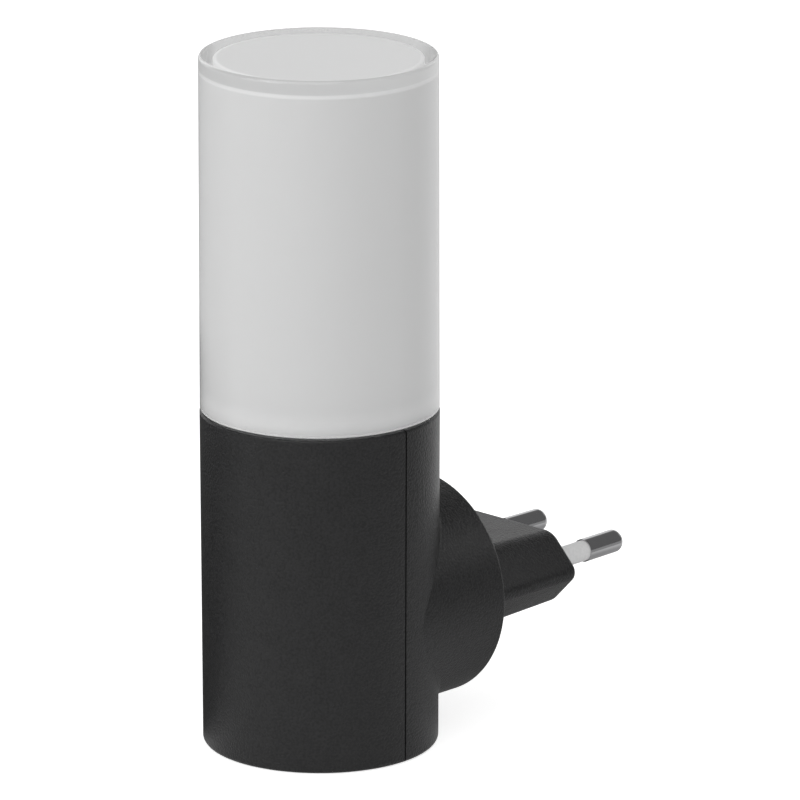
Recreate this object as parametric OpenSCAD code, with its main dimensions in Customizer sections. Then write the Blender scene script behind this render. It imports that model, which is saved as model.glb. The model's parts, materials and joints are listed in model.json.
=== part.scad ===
// Plug-in night light: a clear cup over an opal cup, two half shells, a two-pin
// mains plug on the back and a rocker switch in the base.
// Millimetres, +Z up. The origin is the middle of the plug's engagement face. The
// pins point along +Y into the wall and the lamp's front faces -Y.

/* [Body] */
// Radius of the body at its top rim
body_r = 20; // [19.8:0.1:20.2]
// Radius of the body at its base, a little less for the moulding draft
base_r = 19.8; // [19.6:0.1:19.9]
// Height of the half shells
body_h = 57.6; // [57.2:0.1:58]
// Height of the plug's axis above the base
plug_height = 22.5; // [22.4:0.1:23]
// Distance from the body's axis to the plug's engagement face
axis_out = 45; // [44.5:0.5:46]
// Wall thickness of the shells
wall = 2; // [1.8:0.1:2.1]
// Thickness of the closed base
floor_t = 2; // [1.8:0.1:2.1]
// Radius of the round edge of the base
base_edge = 0.8; // [0.4:0.1:1]
// Chamfer on the top rim of the shells
rim_chamfer = 0.3; // [0.1:0.1:0.4]
// Gap between the shells' rim and the clear cup's shoulder
rim_gap = 0.5; // [0.1:0.1:0.6]
// Width of the seam between the half shells
seam_w = 0.3; // [0.2:0.1:0.4]
// Depth of the seam between the half shells
seam_d = 0.8; // [0.5:0.1:0.9]

/* [Boss] */
// Radius of the round boss that carries the plug
boss_r = 19.3; // [19.3:0.1:19.6]
// How far the boss's axis is below the plug's axis
boss_drop = 0.3; // [0:0.1:0.4]
// Wall thickness of the boss
boss_wall = 2.2; // [2:0.1:2.3]
// Radius of the round edge of the boss
boss_edge = 0.6; // [0.2:0.1:0.6]

/* [Diffuser] */
// Height of the diffuser's top above the shells' rim
diffuser_h = 60.4; // [50:0.2:75]
// Radius of the clear cup just above the shells
cup_r = 19.95; // [19.8:0.05:20]
// Radius of the clear cup at its closed top
cup_top_r = 19.8; // [19.6:0.05:19.8]
// Side wall of the clear cup
cup_wall = 2.6; // [2.5:0.1:2.7]
// Thickness of the clear cup's closed top
cup_top_t = 2.8; // [2:0.1:4]
// Radius of the clear cup's top edge
cup_edge = 0.65; // [0.3:0.05:1]
// Air gap between the clear cup and the opal cup
cup_gap = 0.1; // [0.1:0.05:0.2]
// Wall of the opal cup
opal_wall = 1.4; // [1:0.1:1.5]
// Radius of the opal cup's top edge
opal_edge = 0.8; // [0.3:0.1:1]

/* [Neck] */
// Radius of the clear cup's neck inside the shells
neck_r = 18.5; // [18.3:0.05:18.5]
// Radius of the flange at the foot of the neck
neck_flange_r = 19; // [18.9:0.05:19]
// Height of the flange at the foot of the neck
neck_flange_h = 2.3; // [2:0.1:2.4]
// Depth of the neck below the shells' rim
neck_depth = 5.5; // [5.1:0.1:5.8]
// Clearance round the neck and the light tray
neck_gap = 0.1; // [0.08:0.01:0.12]
// Width of the key that stops the cup turning
key_w = 3; // [2:0.5:4]

/* [Plug] */
// Depth of the plug block from the boss to the engagement face
block_d = 20.1; // [20:0.1:20.4]
// Width of the plug block at the boss, up to where its slants would meet
block_w = 35.6; // [35.3:0.1:35.8]
// Thickness of the plug block at the boss
block_t = 14; // [13.6:0.1:14.1]
// Width of the flats on the plug block's two broad sides, up to where the slants would meet them
block_flat_w = 23.2; // [22.8:0.1:23.8]
// How much narrower the engagement face is than the block at the boss
block_draft_w = 0.1; // [0.1:0.1:0.6]
// How much thinner the engagement face is than the block at the boss
block_draft_t = 1.4; // [0.8:0.1:1.6]
// Radius of the plug block's long corners, between a flat and a slant
block_corner = 4; // [3:0.1:4.4]
// Radius of the plug block's two narrow sides, between one slant and the other
block_tip = 2; // [1.2:0.1:2.2]
// Radius of the edge round the engagement face
block_edge = 0.8; // [0.4:0.1:1]
// Diameter of a contact pin
pin_d = 4; // [3.94:0.02:4.06]
// Length of a contact pin from the engagement face
pin_l = 19; // [18.5:0.1:19.5]
// Distance between the pins at the engagement face
pin_gap_face = 18.6; // [18.2:0.1:18.8]
// Distance between the pins at their tips
pin_gap_tip = 17.7; // [17.4:0.1:18]
// Length of the insulating sleeve on a pin
sleeve_l = 10; // [9.5:0.1:11]
// Diameter of the insulating sleeve
sleeve_d = 3.6; // [3.5:0.05:3.65]
// Diameter of the pin under its sleeve
waist_d = 2.8; // [2.6:0.1:3]
// Radius of the round end of a pin
pin_round = 1.3; // [1:0.1:1.6]

/* [Rocker switch] */
// Length of the rocker, front to back
rocker_l = 12.6; // [12:0.1:12.8]
// Width of the rocker
rocker_w = 8.4; // [8:0.1:8.5]
// Angle between the rocker's two positions
rocker_throw = 18; // [16:1:18]
// Height of the rocker's axle above the base
rocker_axle_h = 5; // [4.9:0.1:5.1]
// Radius of the rocker's axle stubs
axle_r = 1.2; // [1:0.1:1.4]
// Running clearance round the axle stubs
axle_gap = 0.05; // [0.03:0.01:0.08]
// Angle between the contact lever's two positions
lever_throw = 12; // [10:1:12]

/* [Electronics] */
// Width of the driver board
driver_w = 31; // [30:0.5:33]
// Thickness of the driver board
driver_t = 1.6; // [1.4:0.1:1.8]
// Height of the driver board
driver_h = 28; // [27.6:0.1:28.6]
// Radius of the round light board
light_board_r = 14.5; // [13.8:0.1:14.6]
// Thickness of the light board
light_board_t = 1.6; // [1.2:0.1:1.7]
// Number of light-emitting chips
chip_count = 6; // [4:2:8]
// Radius of the ring of chips
chip_ring_r = 8; // [7:0.1:8.2]
// Length of a chip, out from the middle
chip_l = 2.8; // [2:0.1:3]
// Width of a chip, along the ring
chip_w = 3.5; // [2.5:0.1:3.5]
// Thickness of a chip
chip_t = 0.8; // [0.5:0.1:1.2]
// Radius of a mains lead
lead_r = 0.7; // [0.5:0.05:0.75]
// Radius of a lead to the light board
thin_lead_r = 0.55; // [0.4:0.05:0.6]

/* [Hidden] */
$fn = 96;
// Facets on the small rounds that a hull joins
corner_fn = 32;
// The same for the plug block's wide corners, and the turn between the sections of its edge
block_fn = 64;
edge_turn = 15;

// A little extra, so that a cut passes right through a face
eps = 0.1;
// Farther out than any piece of the body
far = 60;
// The thickness of a disc that only marks a section for a hull
skin = 0.01;
// Clearance between pieces that are laid or slid together
slack = 0.1;
// Clearance round a thread in its pilot hole, and round a pin in its block
snug = 0.02;
// Clearance round a screw's shank where it passes through
pass = 0.15;
// How far a pillar or rib reaches into the wall that it grows from
root = 0.3;

// Heights
base_z = -plug_height;
rim_z = base_z + body_h;
top_z = rim_z + diffuser_h;
floor_z = base_z + floor_t;
foot_z = rim_z - neck_depth;
shoulder_z = rim_z + rim_gap;

// Inside of the body and the boss, in the body's own frame: its axis is at x = 0, y = 0
inner_r = base_r - wall;
groove_r = neck_flange_r + neck_gap;
lip_r = neck_r + neck_gap;
flange_top_z = foot_z + neck_flange_h;
tray_t = 2;
tray_r = neck_flange_r - neck_gap;
shelf_z = foot_z - tray_t - slack;
shelf_t = 2;
shelf_r = 16.6;
boss_face_y = axis_out - block_d;
boss_inner_y = boss_face_y - boss_wall;
boss_inner_r = boss_r - boss_wall;

// The two cups
cup_inner_r = cup_r - cup_wall;
cup_inner_z = top_z - cup_top_t;
opal_r = cup_inner_r - cup_gap;
opal_inner_r = opal_r - opal_wall;
opal_top_z = cup_inner_z - cup_gap;

// The key on the front shell, and the notch in the tray and the neck that it fits
key_y = 0.1 - neck_r;
notch_y = 0.4 - neck_r;

// Tongues that line up the two shells along the seam
tongue_t = 0.9;
tongue_in = 3;
tongue_out = 1.5;
tongue_low = floor_z + 1.5;
tongue_high = shelf_z - shelf_t - 1.5;

// Hooks on the base of the front shell: each lies on the rear shell's floor, and its
// nib drops into a pocket there
hook_w = 4;
hook_x = 13;
hook_t = 1.2;
hook_reach = 5;
hook_nib = 0.7;
hook_nib_l = 1.4;

// Case screws, up in deep wells in the boss
screw_x = 7.5;
screw_z = 12.8;
screw_r = 1.45;
screw_l = 14;
screw_head_r = 2.8;
screw_head_h = 1.8;
well_r = 3.2;
well_outer_r = well_r + 0.9;
well_floor_y = 6;
well_floor_t = 3;
pillar_r = 3.2;
pillar_end_y = well_floor_y - well_floor_t - slack;
pillar_foot_r = 4.4;
thread_depth = 12;

// The plug block's core, which goes into the boss, and the clamp that caps it
core_y = boss_face_y - 9.9;
core_half_w = block_w / 2 - 2.4;
core_half_h = block_t / 2 - 1.05;
core_half_flat = block_flat_w / 2 - 1.4;
clamp_half_w = boss_inner_r - slack;
clamp_half_h = core_half_h + 1.6;
clamp_half_flat = core_half_flat + 1.2;
clamp_t = 2;
clamp_screw_x = 4;
clamp_screw_r = 1;
clamp_screw_l = 8.5;
clamp_screw_head_r = 2.1;
clamp_screw_head_h = 1.6;
clamp_spacer_r = 2;

// The pins, inside the block: each has a thicker shank, a collar and a soldering tail
shank_r = pin_d / 2 + 0.1;
collar_r = 3;
collar_t = 1.3;
tail_r = 1;
tail_l = 3.55;
tail_gap = 0.3;
pin_tilt = atan((pin_gap_face - pin_gap_tip) / 2 / pin_l);
shank_z = core_y - axis_out - slack;
collar_z = shank_z - collar_t;
tail_z = collar_z - tail_l;
clamp_floor_y = core_y - collar_t - 2 * slack;
sleeve_in = 1.5;

// Switch housing, the ledges that hold its flange, and the opening in the base
housing_x = 5.6;
housing_y = 8.4;
housing_top_z = base_z + 12.9;
housing_wall = 1.2;
housing_flange = 1;
housing_flange_t = 0.8;
ledge_t = 1.2;
ledge_reach = 0.85;
ledge_foot = 1.5;
ledge_half_w = 4;
opening_x = rocker_w / 2 + 0.3;
opening_y = rocker_l / 2 + 0.8;

// Rocker, about its axle, and the sprung plunger in it
axle_z = base_z + rocker_axle_h;
axle_half_l = housing_x - slack;
rocker_valley = 2.65;
rocker_dip = 1;
rocker_back = 2;
rocker_side_h = 1.1;
rocker_back_half = 3.2;
stem_r = 1.9;
stem_top = 3.2;
plunger_r = 1;
plunger_bore_r = plunger_r + slack;
plunger_bottom = 0.6;
plunger_tip = 5;
bore_bottom = -1.6;
spring_wire_r = 0.16;
spring_coil_r = 0.72;
spring_turns = 4;
spring_steps = 16;
spring_sides = 6;

// Contact lever and the two terminals
bead_r = 0.25;
lever_drop = bead_r + slack / 2;
pivot_z = axle_z + 5.9;
lever_t = 0.5;
lever_half_l = 4.5;
lever_half_w = 1.7;
blade_t = 0.6;
blade_half_w = 1.5;
blade_top_z = base_z + 17.3;
blade_gap = 0.05;
live_y = 4.2;
contact_gap = 0.08;
contact_z = pivot_z - lever_drop * cos(lever_throw / 2) + lever_half_l * sin(lever_throw / 2) + contact_gap;
contact_half_l = 0.6;
contact_t = 0.35;

// Light tray and its screws
light_screw_ys = [-12.2, 12.2];
light_screw_r = 0.8;
light_screw_l = 4;
light_screw_head_r = 1.7;
light_screw_head_h = 0.9;
light_boss_r = 2.2;
light_boss_h = 3;
light_boss_floor = 0.6;
tray_ring_r = opal_inner_r - 2 * slack;
tray_ring_wall = 0.9;
tray_ring_h = 1.4;
light_board_z = foot_z + light_board_t;
light_lead_x = 3;
lead_hole_r = thin_lead_r + 0.2;
tray_hole_r = thin_lead_r + 0.35;
lead_stub = 0.3;

// Driver board, and what stands on its front and its back. Places are [x, z].
board_back_y = -3;
board_front_y = board_back_y - driver_t;
board_low_z = blade_top_z + 1.7;
board_high_z = board_low_z + driver_h;
board_hole_r = pillar_r + 0.2;
film_w = 13;
film_d = 8;
film_h = 6;
film_z = 21;
film_corner = 0.5;
bulk_r = 4;
bulk_l = 11;
bulk_at = [0, 3];
output_r = 2.5;
output_l = 7;
output_at = [9.5, 2];
can_groove_r = 0.35;
can_groove_up = 1.4;
inductor_r = 3.2;
inductor_core_r = 2.3;
inductor_l = 6;
inductor_cheek = 1;
inductor_at = [-10, 2.5];
varistor_r = 3.2;
varistor_t = 3;
varistor_leg = 0.8;
varistor_leg_x = 2;
varistor_at = [10.8, 20.3];
bridge_size = [5, 2.4, 4.4];
bridge_z = 20.2;
bridge_legs = 2;
chip_size = [5, 1.5, 4];
chip_z = 4.5;
chip_legs = 4;
leg_size = [0.45, 0.9, 1.1];
leg_pitch = 1.27;
fuse_r = 1.2;
fuse_l = 6.4;
fuse_bend = 0.5;
fuse_at = [-9, 3.5];
wire_r = 0.3;

// Where the leads meet the driver board, [x, z]
neutral_pad = [12, 4];
switched_pad = [4.5, -0.8];
light_pad = [6, 21.8];

// Colours
shell_colour = [0.17, 0.17, 0.175];
clear_colour = [0.93, 0.95, 0.96, 0.35];
opal_colour = [0.86, 0.86, 0.86];
metal_colour = [0.78, 0.78, 0.78];
brass_colour = [0.8, 0.66, 0.36];
copper_colour = [0.75, 0.5, 0.32];
sleeve_colour = [0.78, 0.78, 0.78];
white_colour = [0.92, 0.92, 0.9];
board_colour = [0.12, 0.38, 0.2];
phosphor_colour = [0.95, 0.85, 0.4];
film_colour = [0.85, 0.68, 0.2];
can_colour = [0.2, 0.22, 0.3];
varistor_colour = [0.2, 0.35, 0.65];
fuse_colour = [0.35, 0.5, 0.4];
black_colour = [0.12, 0.12, 0.12];
brown_colour = [0.45, 0.27, 0.15];
blue_colour = [0.2, 0.35, 0.7];
red_colour = [0.7, 0.12, 0.1];

// Routes of the leads, in the body's own frame: every point is on the lead's middle.
// A route starts straight out of a pin's tail, this far, and ends square to its board.
tail_run = 2.2;
lead_steps = 4;
lead_sides = 8;
// A direction that no lead runs along, which starts each tube's first ring
off_axis = [0.3, 0.2, 1];
function on_tail(side, beyond) =
    let (d = beyond - tail_z)
    [side * (pin_gap_face / 2 + d * sin(pin_tilt)), axis_out - d * cos(pin_tilt), 0];
live_route = [
    on_tail(-1, 0), on_tail(-1, tail_run), [-8.5, 5.8, -1.2], [-4.5, 5.2, -2],
    [-1.4, 4.6, -2.6], [0, live_y, -4], [0, live_y, blade_top_z]
];
neutral_route = [
    on_tail(1, 0), on_tail(1, tail_run), [11.4, 4, 2], [12, 1, 3.6],
    [neutral_pad[0], -1, neutral_pad[1]], [neutral_pad[0], board_back_y, neutral_pad[1]]
];
switched_route = [
    [0, 0, blade_top_z], [0, 0, -4.2], [1.2, 0.8, -2.6], [3, 0.4, -1.2],
    [switched_pad[0], -1.2, switched_pad[1]], [switched_pad[0], board_back_y, switched_pad[1]]
];
light_route = [
    [light_pad[0], board_back_y, light_pad[1]], [light_pad[0], -1.7, light_pad[1]], [5, -0.4, 23.2],
    [3.4, 0, 25.4], [light_lead_x, 0, 27.6], [light_lead_x, 0, light_board_z + lead_stub]
];

// ---------- shared shapes ----------

// Puts its children on the body's axis
module on_body_axis() translate([0, -axis_out, 0]) children();

// Turns its children so that what pointed up points to the back, +Y
module backwards() rotate([-90, 0, 0]) children();

// Its children once on the right, +X, and once on the left
module both_sides() for (side = [-1, 1]) mirror([side < 0 ? 1 : 0, 0, 0]) children();

// A cylinder along X, as long on both sides of x = 0
module x_cylinder(r, y, z, half_l) {
    translate([0, y, z]) rotate([0, 90, 0]) cylinder(r = r, h = 2 * half_l, center = true);
}

// A cylinder along +Y, from y0 to y1
module y_cylinder(r, x, z, y0, y1) {
    translate([x, y0, z]) backwards() cylinder(r = r, h = y1 - y0);
}

// An upright cylinder at (x, y), from z0 to z1
module z_cylinder(r, x, y, z0, z1) {
    translate([x, y, z0]) cylinder(r = r, h = z1 - z0);
}

// A box from its lowest corner to its highest corner
module box(low, high) translate(low) cube(high - low);

// Everything in front of the seam, or behind it
module front_half() box([-far, -far, -far], [far, 0, far]);
module rear_half() box([-far, 0, -far], [far, far, far]);

// A six-sided bar along +Y, from y0 to y1: half width, half height, half of a flat side
module hexagon_bar(half_w, half_h, half_flat, y0, y1) {
    translate([0, y1, 0]) rotate([90, 0, 0]) linear_extrude(y1 - y0) polygon([
        [half_w, 0], [half_flat, half_h], [-half_flat, half_h],
        [-half_w, 0], [-half_flat, -half_h], [half_flat, -half_h]
    ]);
}

// Puts its children on a pin's axis: up is out of the plug, 0 is the engagement face.
// side is -1 for the live pin and 1 for the neutral pin.
module on_pin_axis(side) {
    translate([side * pin_gap_face / 2, 0, 0]) rotate([0, 0, side * pin_tilt]) backwards() children();
}

// A pan-head screw along -Y: the head's underside is at the origin
module screw(shank_r, shank_l, head_r, head_h) {
    cross_half_l = 0.6 * head_r;
    cross_half_w = 0.12 * head_r;
    cross_floor = 0.45 * head_h;
    rotate([90, 0, 0]) cylinder(r = shank_r, h = shank_l);
    difference() {
        backwards() cylinder(r = head_r, h = head_h);
        for (turn = [0, 90]) rotate([0, turn, 0])
            box([-cross_half_l, cross_floor, -cross_half_w], [cross_half_l, head_h + eps, cross_half_w]);
    }
}

// A smooth curve through a route's points
function unit(v) = v / norm(v);
function curve_point(p, i, t) =
    let (
        a = p[max(i - 1, 0)], b = p[i], c = p[i + 1], d = p[min(i + 2, len(p) - 1)],
        slope_b = (c - a) / 2, slope_c = (d - b) / 2
    )
    b * (2 * pow(t, 3) - 3 * pow(t, 2) + 1) + slope_b * (pow(t, 3) - 2 * pow(t, 2) + t)
    + c * (3 * pow(t, 2) - 2 * pow(t, 3)) + slope_c * (pow(t, 3) - pow(t, 2));
function smooth(p, steps) = concat(
    [for (i = [0 : len(p) - 2], k = [0 : steps - 1]) curve_point(p, i, k / steps)],
    [p[len(p) - 1]]
);

// The direction at each point; the two ends keep the directions of the route's own ends
function headings(p, route) =
    let (last = len(p) - 1, end = len(route) - 1)
    [for (i = [0 : last])
        i == 0 ? unit(route[1] - route[0])
        : i == last ? unit(route[end] - route[end - 1])
        : unit(p[i + 1] - p[i - 1])];
function square_to(v, heading) = unit(v - (v * heading) * heading);
function sides_of(h, first) =
    [for (i = 0, s = square_to(first, h[0]); i < len(h);
          i = i + 1, s = square_to(s, h[min(i, len(h) - 1)])) s];

// A tube of radius r along a path of points, closed at its ends
module tube_along(path, r, route, first, sides) {
    h = headings(path, route);
    s = sides_of(h, first);
    rings = len(path);
    points = [for (i = [0 : rings - 1], k = [0 : sides - 1])
        path[i] + r * (cos(360 * k / sides) * s[i] + sin(360 * k / sides) * cross(h[i], s[i]))];
    wall_faces = [for (i = [0 : rings - 2], k = [0 : sides - 1], half = [0, 1])
        let (n = (k + 1) % sides, a = i * sides, b = a + sides)
        half == 0 ? [a + k, b + k, b + n] : [a + k, b + n, a + n]];
    start_cap = [[for (k = [0 : sides - 1]) k]];
    end_cap = [[for (k = [sides - 1 : -1 : 0]) (rings - 1) * sides + k]];
    polyhedron(points = points, faces = concat(start_cap, wall_faces, end_cap));
}
module lead(route, r) {
    on_body_axis() tube_along(smooth(route, lead_steps), r, route, off_axis, lead_sides);
}

// ---------- diffuser ----------

module cup_outline() {
    polygon([
        [0, foot_z], [neck_flange_r, foot_z], [neck_flange_r, flange_top_z],
        [neck_r, flange_top_z], [neck_r, shoulder_z], [cup_r, shoulder_z],
        [cup_top_r, top_z - cup_edge], [cup_top_r - cup_edge, top_z - cup_edge],
        [cup_top_r - cup_edge, top_z], [0, top_z]
    ]);
    translate([cup_top_r - cup_edge, top_z - cup_edge]) circle(r = cup_edge);
}

// The notch that the front shell's key fits, from one height to another
module key_notch(low, high) {
    box([-key_w / 2 - slack, -body_r, low], [key_w / 2 + slack, notch_y, high]);
}

// An upright solid of radius r from z0 to z1, with a round top edge
module round_topped(r, z0, z1, edge) rotate_extrude() {
    polygon([[0, z0], [r, z0], [r, z1 - edge], [r - edge, z1 - edge], [r - edge, z1], [0, z1]]);
    translate([r - edge, z1 - edge]) circle(r = edge);
}

module outer_cup() {
    color(clear_colour) on_body_axis() difference() {
        rotate_extrude() cup_outline();
        round_topped(cup_inner_r, foot_z - eps, cup_inner_z, opal_edge + cup_gap);
        key_notch(foot_z - eps, flange_top_z + eps);
    }
}

module opal_cup() {
    color(opal_colour) on_body_axis() difference() {
        round_topped(opal_r, foot_z, opal_top_z, opal_edge);
        z_cylinder(opal_inner_r, 0, 0, foot_z - eps, opal_top_z - opal_wall);
    }
}

// ---------- shells ----------

module body_outline() {
    polygon([
        [0, base_z], [base_r - base_edge, base_z], [base_r - base_edge, base_z + base_edge],
        [base_r, base_z + base_edge], [body_r, rim_z - rim_chamfer], [body_r - rim_chamfer, rim_z],
        [0, rim_z]
    ]);
    translate([base_r - base_edge, base_z + base_edge]) circle(r = base_edge);
}

module body_solid() rotate_extrude() body_outline();

// The space inside the body: a room, a shelf, a groove for the neck and a lip over it
module body_room() {
    z_cylinder(inner_r, 0, 0, floor_z, shelf_z - shelf_t);
    z_cylinder(shelf_r, 0, 0, floor_z, shelf_z + eps);
    z_cylinder(groove_r, 0, 0, shelf_z, flange_top_z + slack);
    z_cylinder(lip_r, 0, 0, shelf_z, rim_z + eps);
}

// The shallow seam: it leaves the middle of the walls whole
module seam_cut() {
    difference() {
        box([-body_r - eps, -seam_w / 2, base_z - eps], [body_r + eps, seam_w / 2, rim_z + eps]);
        z_cylinder(base_r - seam_d, 0, 0, base_z + seam_d, rim_z + 2 * eps);
    }
}

// The opening in the base that the rocker looks out of
module rocker_opening() {
    box([-opening_x, -opening_y, base_z - eps], [opening_x, opening_y, floor_z + eps]);
}

// A ledge over the end of the switch's flange. side is -1 in front and 1 behind.
module switch_ledge(side) {
    flange_end = housing_y + housing_flange;
    ledge_z = floor_z + housing_flange_t + slack;
    mirror([0, side < 0 ? 1 : 0, 0]) {
        box([-ledge_half_w, flange_end + slack, floor_z - eps],
            [ledge_half_w, flange_end + ledge_foot, ledge_z + ledge_t]);
        box([-ledge_half_w, flange_end - ledge_reach, ledge_z],
            [ledge_half_w, flange_end + ledge_foot, ledge_z + ledge_t]);
    }
}

// The tongue on the right: its root is in the front shell's wall, and it lies inside the rear one's
module tongue() {
    intersection() {
        difference() {
            z_cylinder(inner_r + root, 0, 0, tongue_low, tongue_high);
            z_cylinder(inner_r - tongue_t - slack, 0, 0, tongue_low - eps, tongue_high + eps);
        }
        union() {
            box([0, -tongue_in, base_z], [body_r, 0, rim_z]);
            intersection() {
                box([0, -eps, base_z], [body_r, tongue_out, rim_z]);
                z_cylinder(inner_r - slack, 0, 0, base_z, rim_z);
            }
        }
    }
}

// The hook on the right
module base_hook() {
    low_x = hook_x - hook_w / 2;
    high_x = hook_x + hook_w / 2;
    box([low_x, -hook_w, floor_z - eps], [high_x, -eps, floor_z + hook_t]);
    box([low_x, -hook_w, floor_z + slack], [high_x, hook_reach, floor_z + hook_t]);
    box([low_x, hook_reach - hook_nib_l, floor_z + slack - hook_nib],
        [high_x, hook_reach, floor_z + slack + eps]);
}

// The pocket on the right that the hook's nib drops into
module hook_pocket() {
    box([hook_x - hook_w / 2 - slack, hook_reach - hook_nib_l - slack, floor_z - hook_nib],
        [hook_x + hook_w / 2 + slack, hook_reach + slack, floor_z + eps]);
}

module front_shell() {
    color(shell_colour) on_body_axis() difference() {
        union() {
            difference() {
                intersection() {
                    body_solid();
                    front_half();
                }
                body_room();
            }
            // the key that fits the notches of the tray and the neck
            intersection() {
                box([-key_w / 2, -body_r, shelf_z - eps], [key_w / 2, key_y, flange_top_z - slack]);
                z_cylinder(groove_r + root, 0, 0, base_z, rim_z);
            }
            // the pillars that the screws bite into, each with a foot that the board rests on
            both_sides() intersection() {
                union() {
                    y_cylinder(pillar_r, screw_x, screw_z, -body_r, pillar_end_y);
                    y_cylinder(pillar_foot_r, screw_x, screw_z, -body_r, board_front_y - slack);
                }
                z_cylinder(inner_r + root, 0, 0, base_z, rim_z);
            }
            both_sides() tongue();
            both_sides() base_hook();
            switch_ledge(-1);
        }
        both_sides()
            y_cylinder(screw_r + snug, screw_x, screw_z, pillar_end_y - thread_depth, pillar_end_y + eps);
        rocker_opening();
        seam_cut();
    }
}

module boss_outline() {
    polygon([
        [0, 0], [boss_r, 0], [boss_r, boss_face_y - boss_edge],
        [boss_r - boss_edge, boss_face_y - boss_edge], [boss_r - boss_edge, boss_face_y], [0, boss_face_y]
    ]);
    translate([boss_r - boss_edge, boss_face_y - boss_edge]) circle(r = boss_edge);
}

module boss_solid() translate([0, 0, -boss_drop]) backwards() rotate_extrude() boss_outline();

module rear_shell() {
    color(shell_colour) on_body_axis() difference() {
        union() {
            difference() {
                union() {
                    intersection() {
                        body_solid();
                        rear_half();
                    }
                    boss_solid();
                }
                body_room();
                y_cylinder(boss_inner_r, 0, -boss_drop, -eps, boss_inner_y);
            }
            // the screw wells, which also press the driver board on its pillars
            both_sides()
                y_cylinder(well_outer_r, screw_x, screw_z, board_back_y + slack, boss_face_y - boss_edge);
            switch_ledge(1);
        }
        both_sides() {
            y_cylinder(well_r, screw_x, screw_z, well_floor_y, boss_face_y + eps);
            y_cylinder(screw_r + pass, screw_x, screw_z, pillar_end_y, well_floor_y + eps);
            y_cylinder(pillar_r + pass, screw_x, screw_z, board_back_y, pillar_end_y + slack);
            hook_pocket();
        }
        core_hole(boss_inner_y - eps, boss_face_y + eps);
        rocker_opening();
        seam_cut();
    }
}

module case_screws() {
    color(metal_colour) on_body_axis() both_sides()
        translate([screw_x, well_floor_y, screw_z]) screw(screw_r, screw_l, screw_head_r, screw_head_h);
}

// ---------- plug ----------

// One section of the plug block: a disc in each of its six corners. depth is how far it
// is from the engagement face, and inset is how much its outline is drawn in.
module block_section(depth, inset) {
    share = depth / block_d;
    half_w = block_w / 2 - block_draft_w / 2 * (1 - share);
    half_h = block_t / 2 - block_draft_t / 2 * (1 - share);
    half_flat = block_flat_w / 2;
    slant = atan2(half_h, half_w - half_flat);
    tip_x = half_w - block_tip / sin(slant);
    corner_x = half_flat - block_corner * tan(slant / 2);
    corner_z = half_h - block_corner;
    both_sides() {
        y_cylinder(block_tip - inset, tip_x, 0, -depth - skin, -depth, $fn = block_fn);
        for (z = [-corner_z, corner_z])
            y_cylinder(block_corner - inset, corner_x, z, -depth - skin, -depth, $fn = block_fn);
    }
}

// The six-sided core and the hole that it fits, from y0 to y1 in the body's own frame
module core(gap, y0, y1) {
    hexagon_bar(core_half_w + gap, core_half_h + gap, core_half_flat + gap / 2, y0, y1);
}
module core_hole(y0, y1) core(slack, y0, y1);

module plug_block() {
    color(shell_colour) difference() {
        union() {
            hull() {
                block_section(block_d - skin, 0);
                for (turn = [0 : edge_turn : 90])
                    block_section(block_edge * (1 - sin(turn)), block_edge * (1 - cos(turn)));
            }
            on_body_axis() core(0, core_y, boss_face_y + eps);
        }
        on_body_axis() both_sides()
            y_cylinder(clamp_screw_r + snug, clamp_screw_x, 0, core_y - eps, core_y + clamp_screw_l);
        // each pin's shank ends on a step behind its sleeve
        for (side = [-1, 1]) on_pin_axis(side) {
            z_cylinder(shank_r + snug, 0, 0, -axis_out, -sleeve_in);
            z_cylinder(pin_d / 2 + snug, 0, 0, -sleeve_in - eps, 1);
        }
    }
}

module pin_outline() {
    pin_r = pin_d / 2;
    polygon([
        [0, tail_z], [tail_r, tail_z], [tail_r, collar_z], [collar_r, collar_z], [collar_r, shank_z],
        [shank_r, shank_z], [shank_r, -sleeve_in], [waist_d / 2, -sleeve_in], [waist_d / 2, sleeve_l],
        [pin_r, sleeve_l], [pin_r, pin_l - pin_round], [pin_r - pin_round, pin_l - pin_round],
        [pin_r - pin_round, pin_l], [0, pin_l]
    ]);
    intersection() {
        translate([pin_r - pin_round, pin_l - pin_round]) circle(r = pin_round);
        translate([0, pin_l - pin_round]) square([pin_d, pin_d]);
    }
}

module pin(side) color(metal_colour) on_pin_axis(side) rotate_extrude() pin_outline();
module live_pin() pin(-1);
module neutral_pin() pin(1);

module sleeve(side) {
    color(sleeve_colour) on_pin_axis(side) difference() {
        z_cylinder(sleeve_d / 2, 0, 0, -sleeve_in, sleeve_l);
        z_cylinder(waist_d / 2 + snug, 0, 0, -sleeve_in - eps, sleeve_l + eps);
    }
}
module live_sleeve() sleeve(-1);
module neutral_sleeve() sleeve(1);

// A cap over the core: its rim bears on the inside of the boss's end wall, so its screws
// draw the plug block down on the outside, and its floor keeps the pins' collars in place
module plug_clamp() {
    color(white_colour) difference() {
        on_body_axis() union() {
            difference() {
                hexagon_bar(clamp_half_w, clamp_half_h, clamp_half_flat,
                    clamp_floor_y - clamp_t, boss_inner_y);
                core_hole(clamp_floor_y, boss_inner_y + eps);
            }
            both_sides()
                y_cylinder(clamp_spacer_r, clamp_screw_x, 0, clamp_floor_y - eps, core_y - slack / 2);
        }
        for (side = [-1, 1]) on_pin_axis(side) z_cylinder(tail_r + tail_gap, 0, 0, -axis_out, 0);
        on_body_axis() both_sides() y_cylinder(clamp_screw_r + pass, clamp_screw_x, 0,
            clamp_floor_y - clamp_t - eps, core_y + eps);
    }
}

module clamp_screws() {
    color(metal_colour) on_body_axis() both_sides()
        translate([clamp_screw_x, clamp_floor_y - clamp_t, 0]) rotate([0, 0, 180])
            screw(clamp_screw_r, clamp_screw_l, clamp_screw_head_r, clamp_screw_head_h);
}

// ---------- light ----------

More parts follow.
